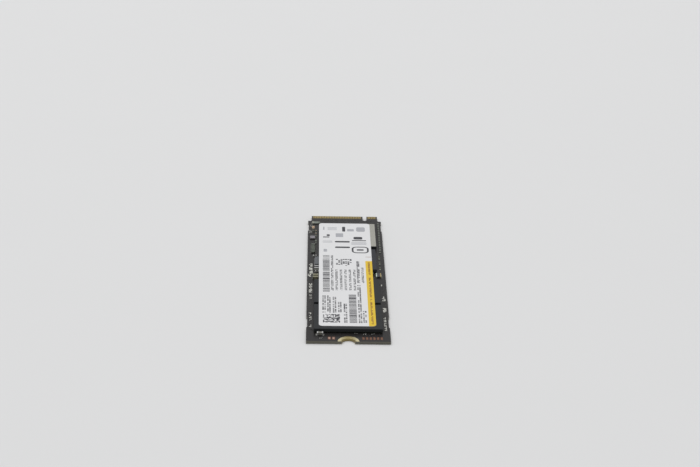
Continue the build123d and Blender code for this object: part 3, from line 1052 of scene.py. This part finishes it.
def column(x, begin, end, *offsets):
    """Lines along the card beside x."""
    return [[(x + step, begin, ink_level), (x + step, end, ink_level)] for step in offsets]


def paired(pairs):
    """The lines of pairs that each have a place across the card, a begin, an end and half a gap."""
    return [line for x, begin, end, half in pairs for line in column(x, begin, end, -half, half)]


wide_pairs = (
    (-6.3, -16.6, -26.2, 0.27), (-5.0, -16.6, -26.2, 0.27), (-3.5, -17.4, -26.2, 0.27),
    (-2.1, -20.4, -26.0, 0.27), (-0.6, -21.4, -32.0, 0.25), (3.3, -10.2, -32.0, 0.27),
    (4.5, -25.6, -31.8, 0.27), (3.3, 5.0, -8.4, 0.2),
)
small_pairs = [(4.5, 1.0, -8.4, 0.17), (-4.0, 9.0, -13.2, 0.17)]
small_pairs += [(x, -0.4, -13.0, 0.17) for x in (-2.8, -1.55, -0.3, 0.95, 2.2)]
bold_lines = column(-0.65, 6.4, 2.5, -1.95, -1.3, -0.65, 0, 0.65, 1.3, 1.95)
left_stripes, left_across = -5.65, 1.9
right_stripes, right_across = 1.4, 2.0
# The wide stripes stand a little proud of the fine ones, so that no two faces share a level.
stripe_rise = 0.002
wide_film = ink_film + stripe_rise
square = 0.32
square_columns = 14
square_left = -6.6
square_places = [square_left + square / 2 + square * step for step in range(square_columns)]
square_lines = [line for x in square_places for line in column(x, -27.5, -31.9, 0)]
# Each row has its lines, film, pitch, width, shortest and longest bar, share left out, and seed.
print_rows = (
    (paired(wide_pairs), ink_film, 0.5, 0.4, (0.2, 0.46), 0.18, 71),
    (paired(small_pairs), ink_film, 0.42, 0.26, (0.16, 0.4), 0.2, 72),
    (column(left_stripes, 9.0, -14.1, 0), ink_film, 0.3, left_across, (0.06, 0.22), 0.1, 73),
    (column(left_stripes, -3.65, -5.95, 0), wide_film, 2.2, left_across, (0.62, 0.66), 0.0, 74),
    (column(left_stripes, 4.8, 1.7, 0), wide_film, 3.0, left_across, (0.26, 0.3), 0.0, 74),
    (column(right_stripes, -15.8, -32.1, 0), ink_film, 0.3, right_across, (0.08, 0.22), 0.06, 75),
    (column(right_stripes, -18.0, -28.1, 0), wide_film, 10.0, right_across, (0.5, 0.6), 0.0, 76),
    (bold_lines, ink_film, 0.62, 0.52, (0.3, 0.6), 0.32, 77),
    (square_lines, ink_film, square, square, (square, square), 0.45, 78),
)
print_parts = [ink_bars(ink_black, *row) for row in print_rows]
settle("label_print", laid_down(joined("label_print", print_parts)), "label_sheet")

# Label shapes. Plain bars, blocks and a frame printed at the label's far end, in one pass of black ink
# and one of pale grey.
pale_ink = finish(
    "label_pale_ink", tone(170, 171, 176), roughness=0.5, speckle=(0.15, 0.1), mottle=(4, 0.1), bump=0.001
)
corner_points = 6


def rounded_outline(x, y, width, length, corner):
    """Points round a rectangle with rounded corners."""
    points = []
    for index, (side_x, side_y) in enumerate(((1, 1), (-1, 1), (-1, -1), (1, -1))):
        for step in range(corner_points):
            angle = math.radians(90 * index + 90 * step / (corner_points - 1))
            across = x + side_x * (width / 2 - corner) + corner * math.cos(angle)
            along = y + side_y * (length / 2 - corner) + corner * math.sin(angle)
            points.append((across, along))
    return points


def ink_loop(shape, outline, side):
    """Adds an outline's points in mm, at the ink's underside for a side of -1 and its top for 1."""
    height = ink_level + side * ink_film / 2
    return [shape.verts.new(Vector((x, y, height)) * MM) for x, y in outline]


def plate(shape, x, y, width, length, corner):
    """Adds a thin plate of ink with rounded corners to a bmesh, in mm."""
    outline = rounded_outline(x, y, width, length, corner)
    lower, upper = (ink_loop(shape, outline, side) for side in (-1, 1))
    bridge(shape, [lower, upper])
    shape.faces.new(upper)
    shape.faces.new(lower[::-1])


def hollow_plate(shape, x, y, width, length, corner, stroke):
    """Adds a frame of ink with rounded corners to a bmesh, in mm."""
    loops = []
    for inset, side in ((0, -1), (0, 1), (stroke, 1), (stroke, -1)):
        outline = rounded_outline(x, y, width - 2 * inset, length - 2 * inset, corner - inset)
        loops.append(ink_loop(shape, outline, side))
    bridge(shape, loops + loops[:1])


# Each plate is a place across and along the card, a width, a length and a corner radius. A frame has its
# stroke after them.
black_frames = ((4.2, 12.9, 4.9, 4.4, 1.4, 0.5),)
black_plates = (
    (4.2, 12.9, 2.0, 0.9, 0.3), (-0.9, 18.4, 4.4, 1.0, 0.45), (-0.9, 14.6, 4.4, 1.0, 0.45),
    (-0.4, 27.3, 0.9, 3.4, 0.2), (3.7, 21.0, 2.6, 1.8, 0.5), (4.0, 19.3, 4.2, 0.55, 0.25),
    (-5.6, 21.6, 1.9, 0.6, 0.2), (-5.0, 22.9, 0.9, 1.2, 0.2),
)
pale_plates = [
    (-1.7, 23.0, 2.2, 2.6, 0.2), (4.6, 27.2, 2.6, 3.2, 0.6), (1.6, 26.6, 2.0, 1.6, 0.3),
    (-6.3, 27.8, 0.4, 2.2, 0.15), (-5.9, 12.4, 1.0, 1.8, 0.2),
]
pale_plates += [(3.9, y, 4.4, 0.3, 0.1) for y in (16.6, 17.3, 18.0)]
pale_plates += [(-5.2, y, 2.8, 0.3, 0.1) for y in (18.0, 18.8)]
pale_plates += [(-3.8, y, 2.8, 0.3, 0.1) for y in (26.8, 27.6, 28.4)]
for name, ink, frames, plates in (
    ("label_marks", ink_black, black_frames, black_plates),
    ("label_pale_marks", pale_ink, (), pale_plates),
):
    shape = bmesh.new()
    for sizes in frames:
        hollow_plate(shape, *sizes)
    for sizes in plates:
        plate(shape, *sizes)
    settle(name, laid_down(as_mesh(name, shape, ink)), "label_sheet")

# Studio. A pale floor under a wide soft lamp and an even grey sky, and the camera where the photograph
# was taken from.
floor_half = 6.0
floor_drop = 0.02 * MM
floor_corners = ((-1, -1), (1, -1), (1, 1), (-1, 1))
floor_points = [(x * floor_half, y * floor_half, -floor_drop) for x, y in floor_corners]
floor_mesh = bpy.data.meshes.new("floor")
floor_mesh.from_pydata(floor_points, [], [(0, 1, 2, 3)])
floor_grey = finish(
    "floor", tone(226, 226, 226),
    roughness=0.7, speckle=(40, 0.01), mottle=(300, 0.01), bump=0.001, specular=0.2,
)
floor_mesh.materials.append(floor_grey)
floor = new_object("floor", floor_mesh)

sky = bpy.data.worlds.new("sky")
sky.use_nodes = True
sky_light = sky.node_tree.nodes["Background"].inputs
sky_light["Color"].default_value = (0.985, 0.99, 1.0, 1.0)
sky_light["Strength"].default_value = 0.48
bpy.context.scene.world = sky

lamp_place = Vector((-0.15, 0.5, 1.8))
lamp_data = bpy.data.lights.new("soft_lamp", "AREA")
lamp_data.size = 2.0
lamp_data.energy = 23.5
lamp = new_object("soft_lamp", lamp_data)
lamp.location = lamp_place
lamp.rotation_euler = (-lamp_place).to_track_quat("-Z", "Y").to_euler()

frame_pixels = 700
focal_pixels = 1542.98
azimuth, elevation, roll = -0.026907, 0.427766, 0.024075
camera_target = Vector((1.560, 28.857, 0)) * MM
camera_distance = 461.05 * MM
camera_data = bpy.data.cameras.new("camera")
camera_data.sensor_fit = "HORIZONTAL"
camera_data.lens = camera_data.sensor_width * focal_pixels / frame_pixels
camera_data.clip_start = 10 * MM
level_share = math.cos(elevation)
back = Vector((math.sin(azimuth) * level_share, -math.cos(azimuth) * level_share, math.sin(elevation)))
level_right = Vector((0, 0, 1)).cross(back).normalized()
level_up = back.cross(level_right)
right = level_right * math.cos(roll) + level_up * math.sin(roll)
up = level_up * math.cos(roll) - level_right * math.sin(roll)
camera = new_object("camera", camera_data)
camera_turn = Matrix((right, up, back)).transposed().to_4x4()
camera.matrix_world = Matrix.Translation(camera_target + back * camera_distance) @ camera_turn
bpy.context.scene.camera = camera
bpy.context.scene.view_settings.view_transform = "Standard"
